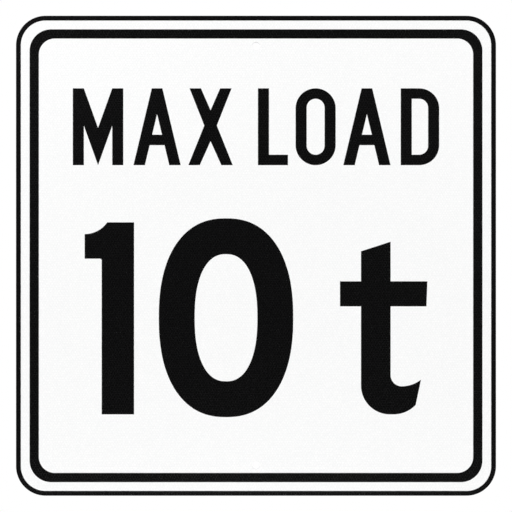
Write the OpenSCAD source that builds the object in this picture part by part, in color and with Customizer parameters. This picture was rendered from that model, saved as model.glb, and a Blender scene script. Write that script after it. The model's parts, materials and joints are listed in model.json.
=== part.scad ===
// Weight limit sign: a flat aluminium plate faced with white reflective sheeting, with its
// black lines and characters cut from thin film and laid on the sheeting.
// +Z is up, the face looks towards -Y, and the origin is the centre of the plate's back face.

/* [Plate] */
// Width of the sign
sign_w = 600; // [560:10:900]
// Height of the sign
sign_h = 600; // [560:10:900]
// Radius of the plate's corners
corner_r = 37; // [20:1:60]
// Thickness of the aluminium plate
plate_t = 2; // [1.5:0.5:4]

/* [Mounting holes] */
// Diameter of the two punched holes
hole_d = 10; // [6:0.5:11]
// Distance from each hole's centre to the edge of the sign nearest it
hole_inset = 38; // [36:1:60]

/* [Sheeting and film] */
// Thickness of the white reflective sheeting
sheeting_t = 0.4; // [0.2:0.05:0.6]
// Thickness of the black film
film_t = 0.1; // [0.05:0.05:0.2]

/* [Lines] */
// Width of the thin line along the edge of the plate
edge_line_w = 6; // [3:0.5:10]
// Distance from the edge of the plate to the border
border_inset = 17; // [12:0.5:19]
// Width of the border
border_w = 11.5; // [8:0.5:13]
// Outer corner radius of the border
border_outer_r = 27; // [20:1:40]
// Inner corner radius of the border
border_inner_r = 20; // [12:1:34]

/* [Legend layout] */
// Height of the legend's middle above the sign's middle
legend_lift = 5.5; // [-10:0.5:15]
// Gap between the foot of the word line and the top of the figures
line_gap = 71.5; // [50:0.5:90]
// Gap beside a letter's upright side
letter_gap = 12.8; // [8:0.2:18]
// Gap between two slanted, round or open sides
slant_gap = 9.6; // [6:0.2:14]
// Gap between the two words
word_space = 31.5; // [20:0.5:40]
// Gap between the two digits
digit_gap = 31; // [20:0.5:45]
// Gap between the number and its unit
unit_gap = 58.5; // [40:0.5:75]

/* [Letters] */
// Height of the capitals
cap_h = 96; // [80:1:110]
// Width of the letters' upright strokes
stroke_w = 13.75; // [10:0.25:17]
// Thickness of the letters' level strokes
level_t = 13; // [9:0.25:17]
// Width of the M
m_w = 63; // [56:0.5:72]
// Depth of the notch between the arms of the M
m_notch_depth = 49.5; // [38:0.5:60]
// Width of the A at its feet
a_w = 59; // [52:0.5:68]
// Width of the flat top of the A
a_top_w = 13.25; // [10:0.25:17]
// Width of each foot of the A
a_foot_w = 14.25; // [11:0.25:17]
// Height of the underside of the bar of the A
a_bar_z = 25; // [18:0.5:30]
// Width of the X at its feet
x_w = 55.5; // [48:0.5:64]
// How much each upper arm of the X stands in from its foot
x_top_inset = 1.5; // [0:0.25:4]
// Width of each arm of the X, along the line
x_arm_w = 14.25; // [11:0.25:17]
// Width of the waist of the X
x_waist_w = 15.6; // [12:0.2:19]
// How far the waist of the X stands above its middle
x_waist_lift = 1.5; // [-2:0.25:4]
// Height of the notch between the feet of the X
x_foot_notch = 30; // [22:0.5:34]
// Depth of the notch between the upper arms of the X
x_top_notch = 27.5; // [20:0.5:32]
// Width of the L
l_w = 37.5; // [34:0.5:48]
// Width of the O
o_w = 50; // [46:0.5:60]
// Width of the D
d_w = 48; // [44:0.5:58]
// Outer corner radius of the D
d_corner_r = 25; // [18:0.5:30]

/* [Figure one] */
// Height of the digits
digit_h = 240; // [200:2:260]
// Width of the digit 1
one_w = 61.7; // [52:0.1:72]
// Width of the upright of the digit 1
one_stem_w = 40.4; // [34:0.1:48]
// How far the curve of the flag runs in from its tip
flag_reach = 28.2; // [22:0.2:36]
// How far the tip of the flag lies below the top of the digit
flag_drop = 14.7; // [10:0.1:20]
// Height of the flag's upright end
flag_h = 30.7; // [22:0.1:38]
// Radius of the inner corner below the flag
flag_corner_r = 2.5; // [1:0.25:6]

/* [Figure nought] */
// Width of the digit 0
nought_w = 168; // [150:0.5:190]
// How far the digit 0 rises above the top of the 1
nought_rise = 5; // [0:0.25:9]
// How far the digit 0 reaches below the foot of the 1
nought_sink = 3.5; // [0:0.25:8]
// Thickness of the digit 0 at its sides
nought_side_t = 44.75; // [36:0.25:52]
// Thickness of the digit 0 at its top and bottom
nought_end_t = 44.75; // [36:0.25:54]
// Fullness of the ovals of the digit 0, where 2 is a true ellipse and more is squarer
nought_fullness = 2.32; // [2:0.02:3]

/* [Unit] */
// Height of the letter t
unit_h = 215.8; // [190:0.2:240]
// Width of the letter t across its bar
unit_w = 109.1; // [95:0.1:120]
// Width of the upright of the t
unit_stem_w = 36.9; // [30:0.1:42]
// How far the slanted head of the t falls across its width
unit_head_drop = 12; // [6:0.5:18]
// How far the bar of the t reaches to the left of the upright
unit_bar_reach = 26.25; // [18:0.25:34]
// Thickness of the bar of the t
unit_bar_t = 31.25; // [24:0.25:38]
// Height of the underside of the bar of the t
unit_bar_z = 135; // [115:0.5:150]
// How much further the bar's end reaches at its top than at its underside
unit_bar_lean = 1.1; // [0:0.1:4]
// Outer radius of the hook of the t, below the upright
hook_heel_r = 36; // [30:0.5:42]
// Outer radius of the hook of the t, below its tail
hook_tail_r = 38; // [32:0.5:42]
// Length of the level part between the two outer curves of the hook
hook_flat = 4.8; // [2:0.1:8]
// Thickness of the foot of the hook
hook_t = 35; // [28:0.25:38]
// Inner radius of the hook beside the upright
hook_inner_r = 14; // [10:0.25:18]
// Radius of the upper side of the tail
tail_top_r = 38.5; // [34:0.5:44]
// Lean of the tail's cut end, in degrees from upright
tail_lean = 12; // [6:0.5:18]
// Distance from the left of the t to the tail's cut end, where its line meets the foot line
tail_reach = 92; // [84:0.25:98]

/* [Hidden] */
$fn = 96;
sheeting_back = plate_t;
film_back = plate_t + sheeting_t;
hole_spacing = sign_h - 2 * hole_inset;
// How far a shape runs past the line that it is cut or joined at
cut_over = 1;
// Number of points around each oval of the digit 0
oval_steps = 120;

// The word line is laid out from the widths of its letters and centred on the sign.
word_widths = [m_w, a_w, x_w, l_w, o_w, a_w, d_w];
word_gaps = [letter_gap, slant_gap, word_space, slant_gap, slant_gap, letter_gap];
word_w = total(word_widths, 7) + total(word_gaps, 6);

// The number and its unit are laid out in the same way.
figure_widths = [one_w, nought_w, unit_w];
figure_gaps = [digit_gap, unit_gap];
figures_w = total(figure_widths, 3) + total(figure_gaps, 2);

legend_h = cap_h + line_gap + digit_h;
figure_foot_z = legend_lift - legend_h / 2;
word_foot_z = figure_foot_z + digit_h + line_gap;

// Sum of the first n numbers of a list.
function total(list, n) = n <= 0 ? 0 : list[n - 1] + total(list, n - 1);

// Left side of character i of a centred line.
function left_of(widths, gaps, line_w, i) = total(widths, i) + total(gaps, i) - line_w / 2;

// A flat piece, drawn as seen from the front, lying from back to back + t in front of the back face.
module layer(back, t) {
    translate([0, -back, 0]) rotate([90, 0, 0]) linear_extrude(height = t) children();
}

// A black film piece at a place on the face.
module film(x, z) {
    color("black") layer(film_back, film_t) translate([x, z]) children();
}

// Character i of the word line.
module word_letter(i) {
    film(left_of(word_widths, word_gaps, word_w, i), word_foot_z) children();
}

// Character i of the line of figures.
module figure(i) {
    film(left_of(figure_widths, figure_gaps, figures_w, i), figure_foot_z) children();
}

module rounded_rect(w, h, r) {
    square([w - 2 * r, h], center = true);
    square([w, h - 2 * r], center = true);
    for (sx = [-1, 1], sz = [-1, 1])
        translate([sx * (w / 2 - r), sz * (h / 2 - r)]) circle(r);
}

// The outline of the plate and of the sheeting on it, with the two punched holes.
module punched_outline() {
    difference() {
        rounded_rect(sign_w, sign_h, corner_r);
        for (s = [-1, 1]) translate([0, s * hole_spacing / 2]) circle(d = hole_d);
    }
}

// A point of an oval that is fuller than an ellipse: a is half its width, b half its height.
function oval_point(a, b, turn) =
    [a * sign(cos(turn)) * pow(abs(cos(turn)), 2 / nought_fullness),
     b * sign(sin(turn)) * pow(abs(sin(turn)), 2 / nought_fullness)];

module oval(a, b) {
    polygon([for (i = [0 : oval_steps - 1]) oval_point(a, b, 360 * i / oval_steps)]);
}

module m_shape() {
    inner_r = m_w - stroke_w;
    polygon([[0, 0], [stroke_w, 0], [stroke_w, m_notch_depth], [m_w / 2, 0],
             [inner_r, m_notch_depth], [inner_r, 0], [m_w, 0], [m_w, cap_h],
             [inner_r, cap_h], [m_w / 2, cap_h - m_notch_depth], [stroke_w, cap_h], [0, cap_h]]);
}

module a_shape() {
    side_run = (a_w - a_top_w) / 2;
    lean = side_run / cap_h;
    // Inner side of the left leg at a height above the feet
    function leg_x(z) = a_foot_w + lean * z;
    apex_z = (a_w / 2 - a_foot_w) / lean;
    bar_top = a_bar_z + level_t;
    difference() {
        polygon([[0, 0], [a_w, 0], [a_w - side_run, cap_h], [side_run, cap_h]]);
        polygon([[a_foot_w, 0], [a_w - a_foot_w, 0],
                 [a_w - leg_x(a_bar_z), a_bar_z], [leg_x(a_bar_z), a_bar_z]]);
        polygon([[leg_x(bar_top), bar_top], [a_w - leg_x(bar_top), bar_top], [a_w / 2, apex_z]]);
    }
}

module x_shape() {
    waist_z = cap_h / 2 + x_waist_lift;
    waist_l = (x_w - x_waist_w) / 2;
    waist_r = x_w - waist_l;
    top_l = x_top_inset;
    top_r = x_w - x_top_inset;
    polygon([[0, 0], [x_arm_w, 0], [x_w / 2, x_foot_notch], [x_w - x_arm_w, 0], [x_w, 0],
             [waist_r, waist_z], [top_r, cap_h], [top_r - x_arm_w, cap_h],
             [x_w / 2, cap_h - x_top_notch], [top_l + x_arm_w, cap_h], [top_l, cap_h],
             [waist_l, waist_z]]);
}

module l_shape() {
    square([stroke_w, cap_h]);
    square([l_w, level_t]);
}

// An upright slot with round ends, centred.
module upright_slot(w, h) {
    square([w, h - w], center = true);
    for (s = [-1, 1]) translate([0, s * (h - w) / 2]) circle(d = w);
}

module o_shape() {
    translate([o_w / 2, cap_h / 2]) difference() {
        upright_slot(o_w, cap_h);
        upright_slot(o_w - 2 * stroke_w, cap_h - 2 * level_t);
    }
}

// A rectangle standing at x = 0, with its two right corners rounded.
module bowl_outline(w, foot, top, r) {
    intersection() {
        translate([0, foot]) square([w, top - foot]);
        translate([0, (foot + top) / 2]) rounded_rect(2 * w, top - foot, r);
    }
}

module d_shape() {
    difference() {
        bowl_outline(d_w, 0, cap_h, d_corner_r);
        translate([stroke_w, 0])
            bowl_outline(d_w - 2 * stroke_w, level_t, cap_h - level_t, d_corner_r - stroke_w);
    }
}

module one_shape() {
    stem_x = one_w - one_stem_w;
    tip_z = digit_h - flag_drop;
    curve_r = (flag_reach * flag_reach + flag_drop * flag_drop) / (2 * flag_drop);
    corner_z = tip_z - flag_h;
    difference() {
        union() {
            translate([stem_x, 0]) square([one_stem_w, digit_h]);
            translate([0, corner_z]) square([one_w, digit_h - corner_z]);
        }
        translate([0, tip_z + curve_r]) circle(curve_r);
    }
    // Rounded inner corner below the flag
    translate([stem_x - flag_corner_r, corner_z - flag_corner_r]) difference() {
        square(flag_corner_r + cut_over);
        circle(flag_corner_r);
    }
}

module nought_shape() {
    a = nought_w / 2;
    b = (digit_h + nought_rise + nought_sink) / 2;
    translate([a, b - nought_sink]) difference() {
        oval(a, b);
        oval(a - nought_side_t, b - nought_end_t);
    }
}

// The upright of the t with its slanted head, and its foot before the hook is cut to shape.
module unit_upright() {
    stem_r = unit_bar_reach + unit_stem_w;
    tail_x = unit_bar_reach + hook_heel_r + hook_flat;
    polygon([[unit_bar_reach, 0], [stem_r, 0],
             [stem_r, unit_h], [unit_bar_reach, unit_h - unit_head_drop]]);
    translate([unit_bar_reach, 0]) square([hook_heel_r + hook_flat, 2 * hook_tail_r]);
    translate([tail_x, hook_tail_r]) circle(hook_tail_r);
}

// What is cut away outside the round heel of the t.
module heel_waste() {
    translate([unit_bar_reach, 0]) difference() {
        translate([-cut_over, -cut_over]) square(hook_heel_r + cut_over);
        translate([hook_heel_r, hook_heel_r]) circle(hook_heel_r);
    }
}

// The space over the hook: the inner corner beside the upright, then the upper side of the tail.
module hook_space() {
    stem_r = unit_bar_reach + unit_stem_w;
    mid_x = stem_r + hook_inner_r;
    open_z = 2 * hook_tail_r;
    translate([mid_x, hook_t + hook_inner_r]) circle(hook_inner_r);
    translate([stem_r, hook_t + hook_inner_r]) square([hook_inner_r, open_z]);
    intersection() {
        translate([mid_x, hook_t + tail_top_r]) circle(tail_top_r);
        translate([mid_x, hook_t]) square([tail_top_r, open_z]);
    }
}

// Everything to the right of the tail's cut end.
module tail_waste() {
    translate([tail_reach, 0]) rotate(-tail_lean) translate([0, -hook_t]) square(unit_h);
}

module unit_shape() {
    bar_top = unit_bar_z + unit_bar_t;
    difference() {
        unit_upright();
        heel_waste();
        hook_space();
        tail_waste();
    }
    polygon([[0, unit_bar_z], [unit_w - unit_bar_lean, unit_bar_z],
             [unit_w, bar_top], [0, bar_top]]);
}

module sign_plate() {
    color("silver") layer(0, plate_t) punched_outline();
}

module white_sheeting() {
    color("white") layer(sheeting_back, sheeting_t) punched_outline();
}

module edge_line() {
    film(0, 0) difference() {
        rounded_rect(sign_w, sign_h, corner_r);
        rounded_rect(sign_w - 2 * edge_line_w, sign_h - 2 * edge_line_w, corner_r - edge_line_w);
    }
}

module border_band() {
    outer_w = sign_w - 2 * border_inset;
    outer_h = sign_h - 2 * border_inset;
    film(0, 0) difference() {
        rounded_rect(outer_w, outer_h, border_outer_r);
        rounded_rect(outer_w - 2 * border_w, outer_h - 2 * border_w, border_inner_r);
    }
}

module letter_m() { word_letter(0) m_shape(); }
module letter_a_first() { word_letter(1) a_shape(); }
module letter_x() { word_letter(2) x_shape(); }
module letter_l() { word_letter(3) l_shape(); }
module letter_o() { word_letter(4) o_shape(); }
module letter_a_second() { word_letter(5) a_shape(); }
module letter_d() { word_letter(6) d_shape(); }
module digit_1() { figure(0) one_shape(); }
module digit_0() { figure(1) nought_shape(); }
module unit_t() { figure(2) unit_shape(); }

sign_plate();
white_sheeting();
edge_line();
border_band();
letter_m();
letter_a_first();
letter_x();
letter_l();
letter_o();
letter_a_second();
letter_d();
digit_1();
digit_0();
unit_t();
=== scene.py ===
"""Weight limit sign: its plate, reflective sheeting and black film, finished and lit in a studio.

All lengths are in metres. The face looks towards -Y and +Z is up.
"""
import json
import math

import bmesh
import bpy
from mathutils import Matrix, Vector


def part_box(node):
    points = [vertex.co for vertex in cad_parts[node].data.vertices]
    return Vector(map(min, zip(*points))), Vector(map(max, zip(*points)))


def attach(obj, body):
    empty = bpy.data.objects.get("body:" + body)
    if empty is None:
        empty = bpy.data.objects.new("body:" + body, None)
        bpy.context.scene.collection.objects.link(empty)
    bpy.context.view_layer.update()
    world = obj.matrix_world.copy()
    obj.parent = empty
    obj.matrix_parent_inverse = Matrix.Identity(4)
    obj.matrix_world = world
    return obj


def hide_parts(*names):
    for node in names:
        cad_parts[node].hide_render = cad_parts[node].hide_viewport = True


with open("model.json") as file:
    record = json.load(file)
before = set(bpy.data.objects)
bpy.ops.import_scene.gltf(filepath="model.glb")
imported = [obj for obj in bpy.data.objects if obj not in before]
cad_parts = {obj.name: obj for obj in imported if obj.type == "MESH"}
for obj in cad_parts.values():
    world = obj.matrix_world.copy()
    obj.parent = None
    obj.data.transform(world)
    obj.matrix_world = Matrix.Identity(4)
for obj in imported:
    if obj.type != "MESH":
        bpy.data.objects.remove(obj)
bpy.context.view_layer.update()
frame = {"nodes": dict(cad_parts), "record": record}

MM = 0.001

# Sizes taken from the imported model
PLATE_LOW, PLATE_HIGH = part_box("sign_plate")
SIGN_W = PLATE_HIGH[0] - PLATE_LOW[0]
SIGN_H = PLATE_HIGH[2] - PLATE_LOW[2]
PLATE_FRONT_Y = PLATE_LOW[1]
PLATE_BACK_Y = PLATE_HIGH[1]
SHEETING_FRONT_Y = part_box("white_sheeting")[0][1]
BORDER_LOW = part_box("border_band")[0]
BORDER_INSET = BORDER_LOW[0] - PLATE_LOW[0]
FILM_FRONT_Y = BORDER_LOW[1]
HOLES = next(m for m in frame["record"]["mounts"] if m["name"] == "mounting_holes")["dims"]
HOLE_R = HOLES["hole_r_mm"] * MM
HOLE_SPACING = HOLES["spacing_y_mm"] * MM

# Corners and line widths of the sign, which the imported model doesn't state
CORNER_R = 37 * MM
EDGE_LINE_W = 6 * MM
BORDER_W = 11.5 * MM
BORDER_OUTER_R = 27 * MM
BORDER_INNER_R = 20 * MM

# Fineness of the curves, and the angle past which an edge is shaded sharp
CORNER_STEPS = 28
HOLE_STEPS = 72
SHARP_ANGLE = math.radians(12)

# Slightly broken edges of the plate and sheeting, where their faces meet past an angle
PLATE_EDGE_BREAK = 0.18 * MM
SHEETING_EDGE_BREAK = 0.045 * MM
EDGE_BREAK_STEPS = 3
EDGE_BREAK_ANGLE = math.radians(60)

# Characters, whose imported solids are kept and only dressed
LEGEND_NODES = ("letter_m", "letter_a_first", "letter_x", "letter_l", "letter_o",
                "letter_a_second", "letter_d", "digit_1", "digit_0", "unit_t")

# Sealed cells: their width, and how far a seal reaches into one, as a share of that width
CELL = 3.4 * MM
SHEETING_SEAL = 0.085
FILM_SEAL = 0.16

# Slow waves of the sheeting and film over the plate: their noise scale and how far they rise
WAVE_SCALE = 6.0
WAVE_RISE = 0.8 * MM

# Faint scuffs on the aluminium: their noise scale, then lean in degrees and the noise's levels at
# which they start and are full
SCUFF_SCALE = (1100, 300, 22)
SCUFFS = ((6, 0.78, 0.86), (-14, 0.79, 0.87), (41, 0.80, 0.88))

# Camera: the photograph is 512 px square and shows the face squarely, at 1.25 mm a pixel
PHOTO_PX = 512
MM_PER_PX = 1.25
SIGN_CENTRE_PX = Vector((256.0, 255.73))
LENS = 85.0
SENSOR = 36.0

# Lamps: name, place, width and power
LAMPS = (("key", (-2.1, -1.8, 1.7), 1.6, 63),
         ("fill", (2.5, -1.6, 0.7), 2.4, 47),
         ("back_high", (-1.3, 1.8, 2.2), 2.4, 22),
         ("back_side", (2.6, 1.5, 0.7), 2.2, 10))

# Room: its light on the object, and what a glossy surface sees of it. A dark card lies before the
# face and fades out over a range of a direction's Y, and the room dims downwards over one of its Z
ROOM_LIGHT = 0.46
CARD_LEVEL = 0.01
CARD_FADE = (-0.84, -0.36)
LOW_LEVEL = 0.38
HEIGHT_FADE = (-0.5, 0.75)

# Floor: how far it lies below the sign, its radius, and the range over which it thins out
FLOOR_DROP = 0.2
FLOOR_R = 1.25
FLOOR_STEPS = 128
FLOOR_FADE = (0.50, 0.84)

# Kinds of group socket
NUMBER = "NodeSocketFloat"
VECTOR = "NodeSocketVector"

# The two inputs and the output that a Mix node uses for each kind of value
MIX_SOCKETS = {"FLOAT": (2, 3, 0), "VECTOR": (4, 5, 1), "RGBA": (6, 7, 2)}


# Node helpers

def feed(tree, value, socket):
    """Links an output to an input, or sets the input to a plain number, vector or colour."""
    if isinstance(value, bpy.types.NodeSocket):
        tree.links.new(value, socket)
    else:
        socket.default_value = value


def math_node(tree, operation, *values):
    node = tree.nodes.new("ShaderNodeMath")
    node.operation = operation
    for value, socket in zip(values, node.inputs):
        feed(tree, value, socket)
    return node.outputs["Value"]


def vector_node(tree, operation, *values):
    node = tree.nodes.new("ShaderNodeVectorMath")
    node.operation = operation
    for value, socket in zip(values, node.inputs):
        feed(tree, value, socket)
    gives_number = operation in ("DOT_PRODUCT", "LENGTH")
    return node.outputs["Value" if gives_number else "Vector"]


def parts_of(tree, vector):
    """The X, Y and Z of a vector."""
    node = tree.nodes.new("ShaderNodeSeparateXYZ")
    feed(tree, vector, node.inputs["Vector"])
    return node.outputs


def weighted_sum(tree, *terms):
    """Adds up values, each of them times its weight."""
    total = 0.0
    for value, weight in terms:
        total = math_node(tree, "MULTIPLY_ADD", value, weight, total)
    return total


def ramp(tree, value, start, end, from_level=0.0, to_level=1.0):
    """Eases from one level to another while a value rises from start to end."""
    node = tree.nodes.new("ShaderNodeMapRange")
    node.interpolation_type = "SMOOTHSTEP"
    for name, setting in (("Value", value), ("From Min", start), ("From Max", end),
                          ("To Min", from_level), ("To Max", to_level)):
        feed(tree, setting, node.inputs[name])
    return node.outputs["Result"]


def mix(tree, kind, factor, first, second):
    """The first value where the factor is 0, and the second where it is 1."""
    node = tree.nodes.new("ShaderNodeMix")
    node.data_type = kind
    first_input, second_input, output = MIX_SOCKETS[kind]
    feed(tree, factor, node.inputs[0])
    feed(tree, first, node.inputs[first_input])
    feed(tree, second, node.inputs[second_input])
    return node.outputs[output]


def noise(tree, place, scale, detail, roughness=0.6):
    node = tree.nodes.new("ShaderNodeTexNoise")
    for name, setting in (("Vector", place), ("Scale", scale), ("Detail", detail),
                          ("Roughness", roughness)):
        feed(tree, setting, node.inputs[name])
    return node.outputs["Fac"]


def stretched_noise(tree, place, scale, detail, roughness=0.6, lean=0.0):
    """Noise drawn out along the axes whose scale is low, and leant over by some degrees."""
    turned = tree.nodes.new("ShaderNodeMapping")
    turned.inputs["Rotation"].default_value = (0, math.radians(lean), 0)
    feed(tree, place, turned.inputs["Vector"])
    stretched = vector_node(tree, "MULTIPLY", turned.outputs["Vector"], scale)
    return noise(tree, stretched, 1, detail, roughness)


def relief(tree, shader, *layers):
    """Lays heights over one another as bumps, each given with how far it rises."""
    normal = None
    for height, rise in layers:
        node = tree.nodes.new("ShaderNodeBump")
        node.inputs["Distance"].default_value = rise
        feed(tree, height, node.inputs["Height"])
        if normal is not None:
            feed(tree, normal, node.inputs["Normal"])
        normal = node.outputs["Normal"]
    feed(tree, normal, shader.inputs["Normal"])


# Shared effects

def new_group(name, inputs, outputs):
    """An empty shader node group, whose inputs and outputs are given by name with their kind."""
    group = bpy.data.node_groups.new(name, "ShaderNodeTree")
    for side, sockets in (("INPUT", inputs), ("OUTPUT", outputs)):
        for label, kind in sockets.items():
            group.interface.new_socket(name=label, in_out=side, socket_type=kind)
    return group, group.nodes.new("NodeGroupInput").outputs, group.nodes.new("NodeGroupOutput").inputs


def place_group(tree, group, values):
    """Places a group with its own values, and gives its outputs."""
    node = tree.nodes.new("ShaderNodeGroup")
    node.node_tree = group
    for name, value in values.items():
        feed(tree, value, node.inputs[name])
    return node.outputs


def sealed_cells_group():
    """Honeycomb of sealed cells, drawn on X and Z: their seal lines, and how each cell stands proud.

    Cells have their centres on two staggered grids, and a point belongs to the nearest of these.
    """
    group, given, result = new_group("sealed_cells", {"Place": VECTOR, "Cell": NUMBER, "Seal": NUMBER},
                                     {"Line": NUMBER, "Dome": NUMBER})
    place = parts_of(group, given["Place"])
    flat = group.nodes.new("ShaderNodeCombineXYZ")
    feed(group, math_node(group, "DIVIDE", place["X"], given["Cell"]), flat.inputs["X"])
    feed(group, math_node(group, "DIVIDE", place["Z"], given["Cell"]), flat.inputs["Y"])

    half_step = Vector((0.5, math.sqrt(3) / 2, 0.5))
    from_centre = []
    for grid_corner in (Vector(), half_step):
        moved = vector_node(group, "SUBTRACT", flat.outputs["Vector"], grid_corner)
        wrapped = vector_node(group, "WRAP", moved, half_step, -half_step)
        from_centre.append(vector_node(group, "MULTIPLY", wrapped, (1, 1, 0)))
    first, second = (vector_node(group, "DOT_PRODUCT", offset, offset) for offset in from_centre)
    second_is_nearer = math_node(group, "LESS_THAN", second, first)
    offset = vector_node(group, "ABSOLUTE", mix(group, "VECTOR", second_is_nearer, *from_centre))

    # Distance from the centre towards an upright side and towards a slanted side, which lie at 0.5
    upright = vector_node(group, "DOT_PRODUCT", offset, (1, 0, 0))
    slanted = vector_node(group, "DOT_PRODUCT", offset, (0.5, math.sqrt(3) / 2, 0))
    inwards = math_node(group, "SUBTRACT", 0.5, math_node(group, "MAXIMUM", upright, slanted))
    seals_in = math_node(group, "DIVIDE", inwards, given["Seal"])
    feed(group, ramp(group, seals_in, 0, 1, 1, 0), result["Line"])
    feed(group, ramp(group, seals_in, 0, 2), result["Dome"])
    return group


def skin_group():
    """Fine peel of a rolled-on skin, and its slow waves over the plate."""
    group, given, result = new_group(
        "skin_unevenness", {"Place": VECTOR, "Peel Scale": NUMBER, "Wave Scale": NUMBER},
        {"Peel": NUMBER, "Wave": NUMBER})
    peel = noise(group, given["Place"], given["Peel Scale"], detail=2, roughness=0.5)
    wave = noise(group, given["Place"], given["Wave Scale"], detail=1, roughness=0.5)
    feed(group, peel, result["Peel"])
    feed(group, wave, result["Wave"])
    return group


def cut_edge_group():
    """Mask of the narrow faces around a sheet, which look sideways and not to the front or back."""
    group, given, result = new_group("cut_edge", {"Facing": VECTOR}, {"Mask": NUMBER})
    forwards = math_node(group, "ABSOLUTE", parts_of(group, given["Facing"])["Y"])
    feed(group, ramp(group, forwards, 0.35, 0.75, 1, 0), result["Mask"])
    return group


SEALED_CELLS = sealed_cells_group()
SKIN = skin_group()
CUT_EDGE = cut_edge_group()


# Materials

def empty_material(name):
    material = bpy.data.materials.new(name)
    material.use_nodes = True
    material.node_tree.nodes.clear()
    return material, material.node_tree


def surface_material(name):
    """A material with its shader, and the outputs that give a surface's place and facing."""
    material, tree = empty_material(name)
    shader = tree.nodes.new("ShaderNodeBsdfPrincipled")
    output = tree.nodes.new("ShaderNodeOutputMaterial")
    feed(tree, shader.outputs["BSDF"], output.inputs["Surface"])
    where = tree.nodes.new("ShaderNodeTexCoord")
    return material, tree, shader, where.outputs


def mill_aluminium():
    """Sheet as it leaves the rolls: fine upright grain, a cloudy sheen, and sheared edges."""
    dark_rolled = (0.65, 0.655, 0.66, 1)
    bright_rolled = (0.745, 0.75, 0.752, 1)
    bare_scuff = (0.88, 0.88, 0.88, 1)
    dark_sheared = (0.54, 0.55, 0.56, 1)
    bright_sheared = (0.70, 0.705, 0.71, 1)

    material, tree, shader, where = surface_material("mill_aluminium")
    shader.inputs["Metallic"].default_value = 1.0
    place = where["Object"]
    edge = place_group(tree, CUT_EDGE, {"Facing": where["Normal"]})["Mask"]
    grain = stretched_noise(tree, place, (1500, 400, 9), detail=5, roughness=0.65)
    streaks = stretched_noise(tree, place, (150, 60, 1.4), detail=3)
    clouds = stretched_noise(tree, place, (7, 7, 4), detail=3)
    shear = stretched_noise(tree, place, (1500, 90, 1500), detail=3)
    scuffs = 0.0
    for lean, start, full in SCUFFS:
        leant = stretched_noise(tree, place, SCUFF_SCALE, detail=0, lean=lean)
        scuffs = math_node(tree, "MAXIMUM", ramp(tree, leant, start, full), scuffs)

    tone = weighted_sum(tree, (grain, 0.6), (streaks, 0.4))
    rolled = mix(tree, "RGBA", ramp(tree, tone, 0.32, 0.68), dark_rolled, bright_rolled)
    scuff_share = math_node(tree, "MULTIPLY", scuffs, 0.6)
    face_colour = mix(tree, "RGBA", scuff_share, rolled, bare_scuff)
    edge_colour = mix(tree, "RGBA", ramp(tree, shear, 0.3, 0.7), dark_sheared, bright_sheared)
    feed(tree, mix(tree, "RGBA", edge, face_colour, edge_colour), shader.inputs["Base Color"])

    sheen = weighted_sum(tree, (clouds, 0.45), (tone, 0.55))
    rolled_rough = ramp(tree, sheen, 0.34, 0.66, 0.29, 0.41)
    face_rough = weighted_sum(tree, (rolled_rough, 1.0), (scuffs, 0.12))
    edge_rough = ramp(tree, shear, 0.3, 0.7, 0.70, 0.82)
    feed(tree, mix(tree, "FLOAT", edge, face_rough, edge_rough), shader.inputs["Roughness"])

    shear_marks = math_node(tree, "MULTIPLY", shear, edge)
    relief(tree, shader, (clouds, 0.6 * MM), (grain, 0.006 * MM), (shear_marks, 0.012 * MM))
    return material


def lay_skin(tree, shader, cells, skin, low_rough, high_rough, seal_rough, peel_rise, cell_rise):
    """Roughness and relief of a skin that follows the sealed cells, rougher along their seals."""
    peel_rough = ramp(tree, skin["Peel"], 0.3, 0.7, low_rough, high_rough)
    rough = weighted_sum(tree, (peel_rough, 1.0), (cells["Line"], seal_rough))
    feed(tree, rough, shader.inputs["Roughness"])
    relief(tree, shader, (skin["Wave"], WAVE_RISE), (skin["Peel"], peel_rise),
           (cells["Dome"], cell_rise))


def white_sheeting():
    """White reflective sheeting: a clear skin sealed down on a honeycomb of small cells."""
    dull_cell = (0.938, 0.942, 0.940, 1)
    bright_cell = (0.956, 0.957, 0.953, 1)
    seal_line = (0.83, 0.835, 0.84, 1)
    cut_side = (0.74, 0.745, 0.75, 1)

    material, tree, shader, where = surface_material("white_sheeting")
    shader.inputs["IOR"].default_value = 1.49
    place = where["Object"]
    edge = place_group(tree, CUT_EDGE, {"Facing": where["Normal"]})["Mask"]
    cells = place_group(tree, SEALED_CELLS, {"Place": place, "Cell": CELL, "Seal": SHEETING_SEAL})
    skin = place_group(tree, SKIN, {"Place": place, "Peel Scale": 420, "Wave Scale": WAVE_SCALE})

    mottle = ramp(tree, noise(tree, place, 260, detail=2), 0.35, 0.65)
    cell_colour = mix(tree, "RGBA", mottle, dull_cell, bright_cell)
    face_colour = mix(tree, "RGBA", cells["Line"], cell_colour, seal_line)
    feed(tree, mix(tree, "RGBA", edge, face_colour, cut_side), shader.inputs["Base Color"])
    lay_skin(tree, shader, cells, skin, low_rough=0.22, high_rough=0.30, seal_rough=0.12,
             peel_rise=0.006 * MM, cell_rise=0.03 * MM)
    return material


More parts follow.
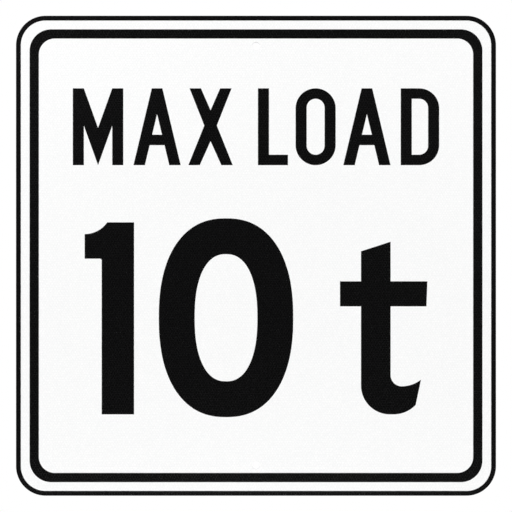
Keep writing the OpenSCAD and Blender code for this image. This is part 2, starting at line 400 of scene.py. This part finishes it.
def black_film():
    """Black cut film, smooth and semi-gloss, with the sheeting's cells just showing through it."""
    deep_black = (0.0022, 0.0022, 0.0023, 1)
    soft_black = (0.0032, 0.0032, 0.0033, 1)
    seal_line = (0.0046, 0.0046, 0.0048, 1)

    material, tree, shader, where = surface_material("black_film")
    shader.inputs["IOR"].default_value = 1.46
    place = where["Object"]
    cells = place_group(tree, SEALED_CELLS, {"Place": place, "Cell": CELL, "Seal": FILM_SEAL})
    skin = place_group(tree, SKIN, {"Place": place, "Peel Scale": 650, "Wave Scale": WAVE_SCALE})

    film_colour = mix(tree, "RGBA", ramp(tree, skin["Peel"], 0.3, 0.7), deep_black, soft_black)
    feed(tree, mix(tree, "RGBA", cells["Line"], film_colour, seal_line), shader.inputs["Base Color"])
    lay_skin(tree, shader, cells, skin, low_rough=0.20, high_rough=0.27, seal_rough=0.05,
             peel_rise=0.004 * MM, cell_rise=0.008 * MM)
    return material


# Sheets and film

def rounded_outline(bm, width, height, radius):
    """A rectangle on X and Y, whose four corners are turned to arcs."""
    size = Matrix.Diagonal((width, height, 1, 1))
    made = bmesh.ops.create_grid(bm, x_segments=1, y_segments=1, size=0.5, matrix=size)
    bmesh.ops.bevel(bm, geom=made["verts"], offset=radius, segments=CORNER_STEPS, profile=0.5,
                    affect="VERTICES", material=-1)


def punched_blank():
    """The outline of the sign and its two holes."""
    bm = bmesh.new()
    rounded_outline(bm, SIGN_W, SIGN_H, CORNER_R)
    for side in (-1, 1):
        place = Matrix.Translation((0, side * HOLE_SPACING / 2, 0))
        bmesh.ops.create_circle(bm, segments=HOLE_STEPS, radius=HOLE_R, cap_ends=False, matrix=place)
    return bm


def line_blank(inset, width, outer_r, inner_r):
    """The outer and inner outline of a line that runs round the sign."""
    bm = bmesh.new()
    rounded_outline(bm, SIGN_W - 2 * inset, SIGN_H - 2 * inset, outer_r)
    inside = inset + width
    rounded_outline(bm, SIGN_W - 2 * inside, SIGN_H - 2 * inside, inner_r)
    return bm


def layer(name, bm, front_y, back_y, edge_break=0.0):
    """Fills a blank between its outlines, gives it a thickness and stands it up on the sign."""
    bmesh.ops.delete(bm, geom=list(bm.faces), context="FACES_ONLY")
    bmesh.ops.triangle_fill(bm, use_beauty=True, use_dissolve=True, edges=list(bm.edges),
                            normal=(0, 0, 1))
    grown = bmesh.ops.extrude_face_region(bm, geom=list(bm.faces), use_keep_orig=True)
    raised = [part for part in grown["geom"] if isinstance(part, bmesh.types.BMVert)]
    bmesh.ops.translate(bm, verts=raised, vec=(0, 0, back_y - front_y))
    bmesh.ops.recalc_face_normals(bm, faces=list(bm.faces))
    if edge_break:
        edges = [edge for edge in bm.edges if edge.calc_face_angle(0.0) > EDGE_BREAK_ANGLE]
        bmesh.ops.bevel(bm, geom=edges, offset=edge_break, segments=EDGE_BREAK_STEPS, profile=0.5,
                        affect="EDGES", material=-1)
    stand = Matrix.Translation((0, back_y, 0)) @ Matrix.Rotation(math.radians(90), 4, "X")
    bmesh.ops.transform(bm, matrix=stand, verts=bm.verts)
    bmesh.ops.recalc_face_normals(bm, faces=list(bm.faces))

    mesh = bpy.data.meshes.new(name)
    bm.to_mesh(mesh)
    bm.free()
    mesh.shade_smooth()
    mesh.set_sharp_from_angle(angle=SHARP_ANGLE)
    piece = bpy.data.objects.new(name, mesh)
    bpy.context.scene.collection.objects.link(piece)
    return piece


def place_on_sign(piece, material, node):
    """Dresses a piece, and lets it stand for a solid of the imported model."""
    piece.data.materials.append(material)
    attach(piece, "root")
    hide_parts(node)


def make_sign():
    plate = layer("plate", punched_blank(), PLATE_FRONT_Y, PLATE_BACK_Y, PLATE_EDGE_BREAK)
    place_on_sign(plate, mill_aluminium(), "sign_plate")
    sheeting = layer("sheeting", punched_blank(), SHEETING_FRONT_Y, PLATE_FRONT_Y, SHEETING_EDGE_BREAK)
    place_on_sign(sheeting, white_sheeting(), "white_sheeting")

    film = black_film()
    edge_line = line_blank(0, EDGE_LINE_W, CORNER_R, CORNER_R - EDGE_LINE_W)
    thin_line = layer("thin_line", edge_line, FILM_FRONT_Y, SHEETING_FRONT_Y)
    place_on_sign(thin_line, film, "edge_line")
    border = line_blank(BORDER_INSET, BORDER_W, BORDER_OUTER_R, BORDER_INNER_R)
    wide_border = layer("wide_border", border, FILM_FRONT_Y, SHEETING_FRONT_Y)
    place_on_sign(wide_border, film, "border_band")
    for name in LEGEND_NODES:
        for slot in frame["nodes"][name].material_slots:
            slot.material = film


# Studio

def make_camera():
    """Looks squarely at the face, from where the photograph's frame just fits the view."""
    data = bpy.data.cameras.new("camera")
    data.lens = LENS
    data.sensor_width = SENSOR
    data.clip_start = 0.01
    data.clip_end = 100.0
    camera = bpy.data.objects.new("camera", data)
    metres_per_px = MM_PER_PX * MM
    distance = PHOTO_PX * metres_per_px * LENS / SENSOR
    across = (PHOTO_PX / 2 - SIGN_CENTRE_PX.x) * metres_per_px
    up = (SIGN_CENTRE_PX.y - PHOTO_PX / 2) * metres_per_px
    camera.location = (across, FILM_FRONT_Y - distance, up)
    camera.rotation_euler = (math.radians(90), 0, 0)
    bpy.context.scene.collection.objects.link(camera)
    bpy.context.scene.camera = camera


def make_lamps():
    """Soft round lamps, all turned to the middle of the sign."""
    for name, place, width, power in LAMPS:
        data = bpy.data.lights.new(name, "AREA")
        data.shape = "DISK"
        data.size = width
        data.energy = power
        lamp = bpy.data.objects.new(name, data)
        lamp.location = place
        lamp.rotation_euler = (-Vector(place)).to_track_quat("-Z", "Y").to_euler()
        bpy.context.scene.collection.objects.link(lamp)


def make_room():
    """White to the camera, plain light on the object, and a dark card before the face.

    Only glossy surfaces see the card, so the black film isn't greyed by a white room.
    """
    world = bpy.data.worlds.new("studio")
    world.use_nodes = True
    tree = world.node_tree
    tree.nodes.clear()
    path = tree.nodes.new("ShaderNodeLightPath").outputs
    # In a world, Generated is the direction that is looked in
    where = tree.nodes.new("ShaderNodeTexCoord")
    direction = parts_of(tree, where.outputs["Generated"])
    card = ramp(tree, direction["Y"], *CARD_FADE, CARD_LEVEL, 1)
    height = ramp(tree, direction["Z"], *HEIGHT_FADE, LOW_LEVEL, 1)
    mirrored = math_node(tree, "MULTIPLY", card, height)
    level = mix(tree, "FLOAT", path["Is Glossy Ray"], ROOM_LIGHT, mirrored)
    in_view = math_node(tree, "MAXIMUM", path["Is Camera Ray"], path["Is Transmission Ray"])
    background = tree.nodes.new("ShaderNodeBackground")
    background.inputs["Color"].default_value = (1, 1, 1, 1)
    feed(tree, mix(tree, "FLOAT", in_view, level, 1.0), background.inputs["Strength"])
    output = tree.nodes.new("ShaderNodeOutputWorld")
    feed(tree, background.outputs["Background"], output.inputs["Surface"])
    bpy.context.scene.world = world


def pale_floor():
    """Matte floor that thins out to the white room at its rim, and isn't seen from below."""
    material, tree = empty_material("pale_floor")
    place = tree.nodes.new("ShaderNodeTexCoord").outputs["Object"]
    below = tree.nodes.new("ShaderNodeNewGeometry").outputs["Backfacing"]
    rim = ramp(tree, vector_node(tree, "LENGTH", place), *FLOOR_FADE)
    speckle = noise(tree, place, 90, detail=3)
    matte = tree.nodes.new("ShaderNodeBsdfDiffuse")
    feed(tree, mix(tree, "RGBA", speckle, (0.80, 0.80, 0.80, 1), (0.84, 0.84, 0.84, 1)),
         matte.inputs["Color"])
    clear = tree.nodes.new("ShaderNodeBsdfTransparent")
    shown = tree.nodes.new("ShaderNodeMixShader")
    feed(tree, math_node(tree, "MAXIMUM", rim, below), shown.inputs[0])
    feed(tree, matte.outputs["BSDF"], shown.inputs[1])
    feed(tree, clear.outputs["BSDF"], shown.inputs[2])
    output = tree.nodes.new("ShaderNodeOutputMaterial")
    feed(tree, shown.outputs["Shader"], output.inputs["Surface"])
    return material


def make_floor():
    bm = bmesh.new()
    bmesh.ops.create_circle(bm, segments=FLOOR_STEPS, radius=FLOOR_R, cap_ends=True)
    mesh = bpy.data.meshes.new("floor")
    bm.to_mesh(mesh)
    bm.free()
    mesh.materials.append(pale_floor())
    floor = bpy.data.objects.new("floor", mesh)
    floor.location = (0, 0, PLATE_LOW[2] - FLOOR_DROP)
    bpy.context.scene.collection.objects.link(floor)


make_camera()
make_sign()
make_lamps()
make_room()
make_floor()
bpy.context.scene.view_settings.view_transform = "Standard"
